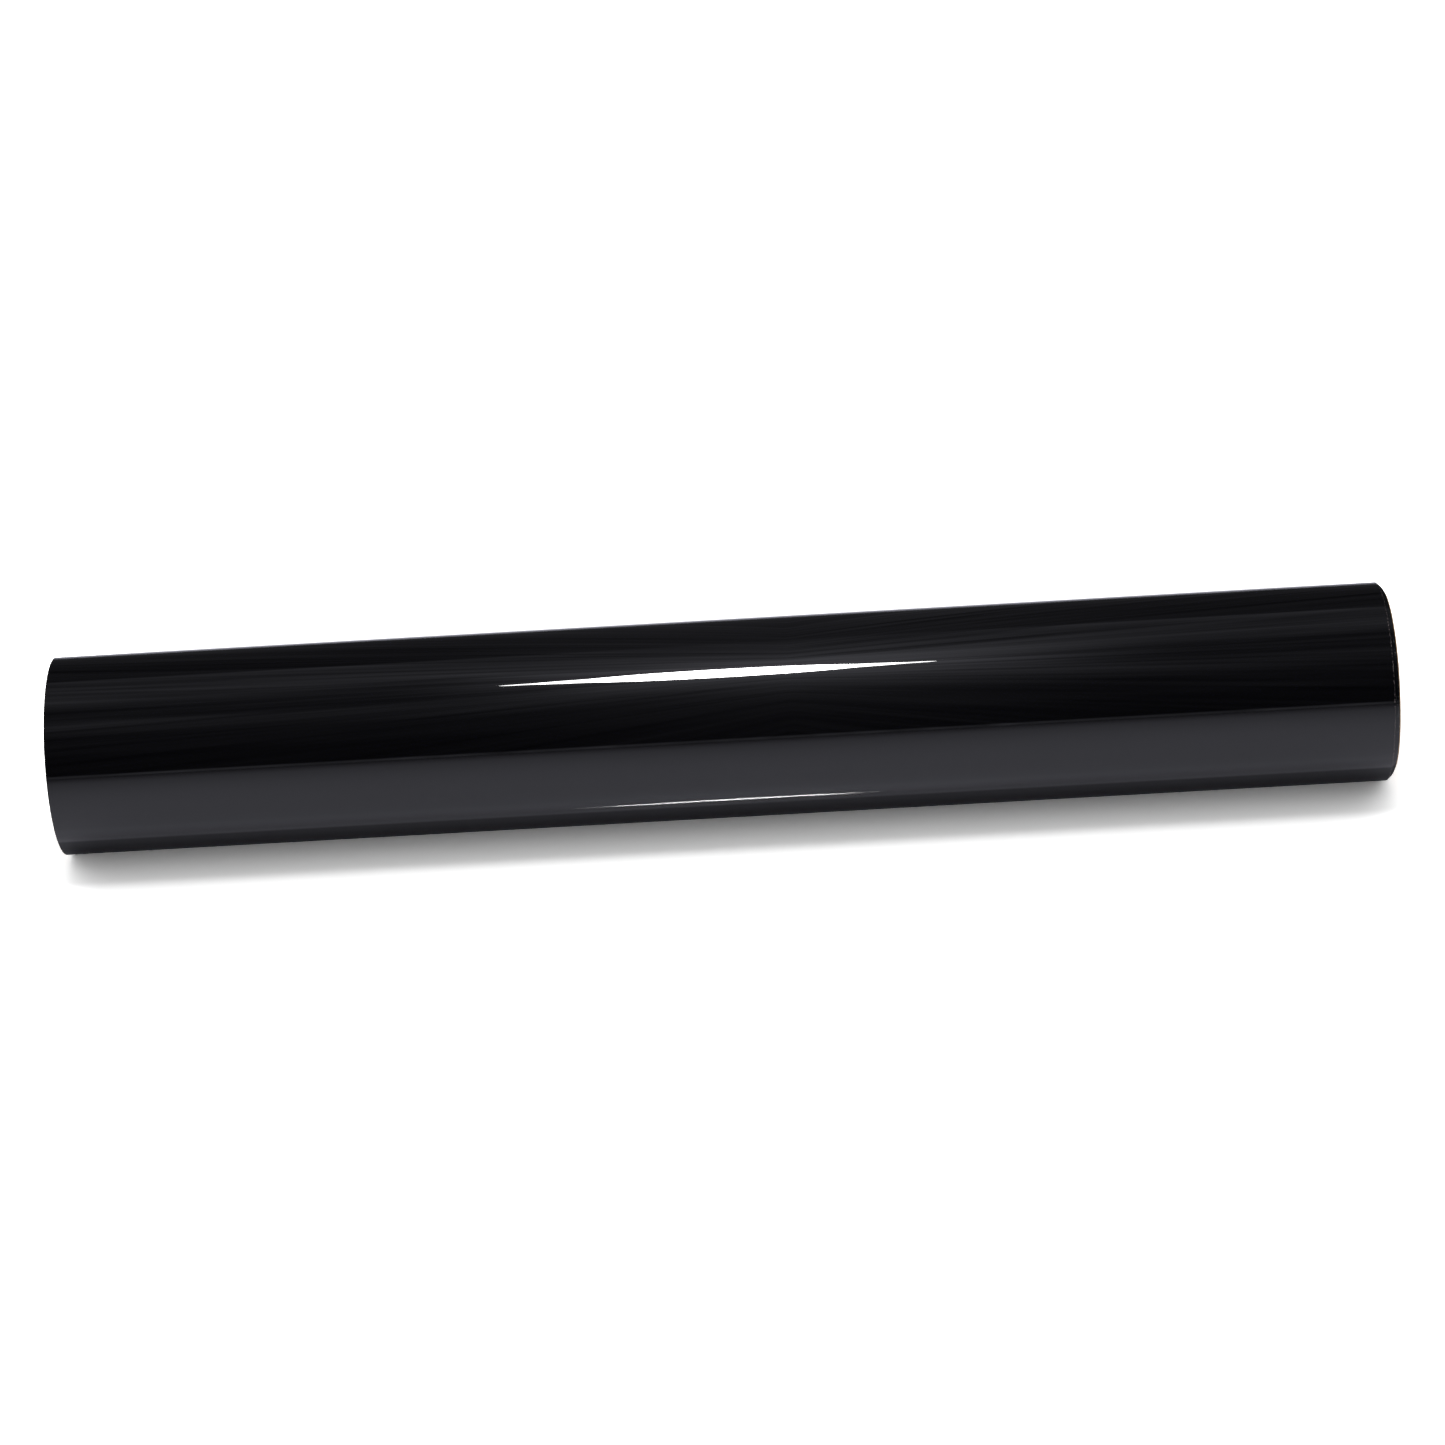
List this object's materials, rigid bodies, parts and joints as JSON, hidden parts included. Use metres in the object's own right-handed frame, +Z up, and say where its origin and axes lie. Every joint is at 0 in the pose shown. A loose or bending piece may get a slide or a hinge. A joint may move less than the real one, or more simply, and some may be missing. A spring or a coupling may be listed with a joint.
{
  "type": "roll of sign vinyl",
  "caption": "Long roll of black gloss self-adhesive vinyl wound face-out on an open paper core, its cut end held down by small tapes on the back.",
  "frame": {"origin": "middle of the core's bore, on its axis", "axes": "+X along the core's axis, +Z up, +Y towards the back, where the web's cut end is taped down"},
  "size_m": [0.6127, 0.0924, 0.0916],
  "materials": {
    "vinyl": "high gloss black calendered film",
    "liner": "siliconised white paper, satin",
    "adhesive": "tacky clear acrylic adhesive",
    "core_paper": "brown spiral-wound paperboard, matte",
    "starter_tape": "clear double-sided tape",
    "crepe_tape": "cream crepe paper tape, matte"
  },
  "bodies": {
    "roll": {"core_ply_1": "core_paper", "core_ply_2": "core_paper", "core_ply_3": "core_paper", "core_ply_4": "core_paper", "core_ply_5": "core_paper", "core_ply_6": "core_paper", "core_ply_7": "core_paper", "core_ply_8": "core_paper", "starter_tape": "starter_tape", "release_liner": "liner", "adhesive_coat": "adhesive", "vinyl_film": "vinyl", "film_outer_turn": "vinyl"},
    "tail": {"liner_tail": "liner", "adhesive_tail": "adhesive", "film_tail": "vinyl"},
    "lip": {"adhesive_lip": "adhesive", "film_lip": "vinyl"},
    "tape_left": {"tape_left": "crepe_tape"},
    "tape_middle": {"tape_middle": "crepe_tape"},
    "tape_right": {"tape_right": "crepe_tape"}
  },
  "joints": [
    {"name": "tail_lift", "type": "hinge", "parent": "roll", "child": "tail", "pos_m": [0, 0.023, 0.03983], "axis": [1, 0, 0], "range_deg": [0, 60]},
    {"name": "film_peel", "type": "hinge", "parent": "tail", "child": "lip", "pos_m": [0, 0.04005, 0.02306], "axis": [1, 0, 0], "range_deg": [0, 100]},
    {"name": "tape_left_peel", "type": "hinge", "parent": "lip", "child": "tape_left", "pos_m": [0, 0.04377, 0.01585], "axis": [1, 0, 0], "range_deg": [0, 100]},
    {"name": "tape_middle_peel", "type": "hinge", "parent": "lip", "child": "tape_middle", "pos_m": [0, 0.04377, 0.01585], "axis": [1, 0, 0], "range_deg": [0, 100]},
    {"name": "tape_right_peel", "type": "hinge", "parent": "lip", "child": "tape_right", "pos_m": [0, 0.04377, 0.01585], "axis": [1, 0, 0], "range_deg": [0, 100]}
  ]
}
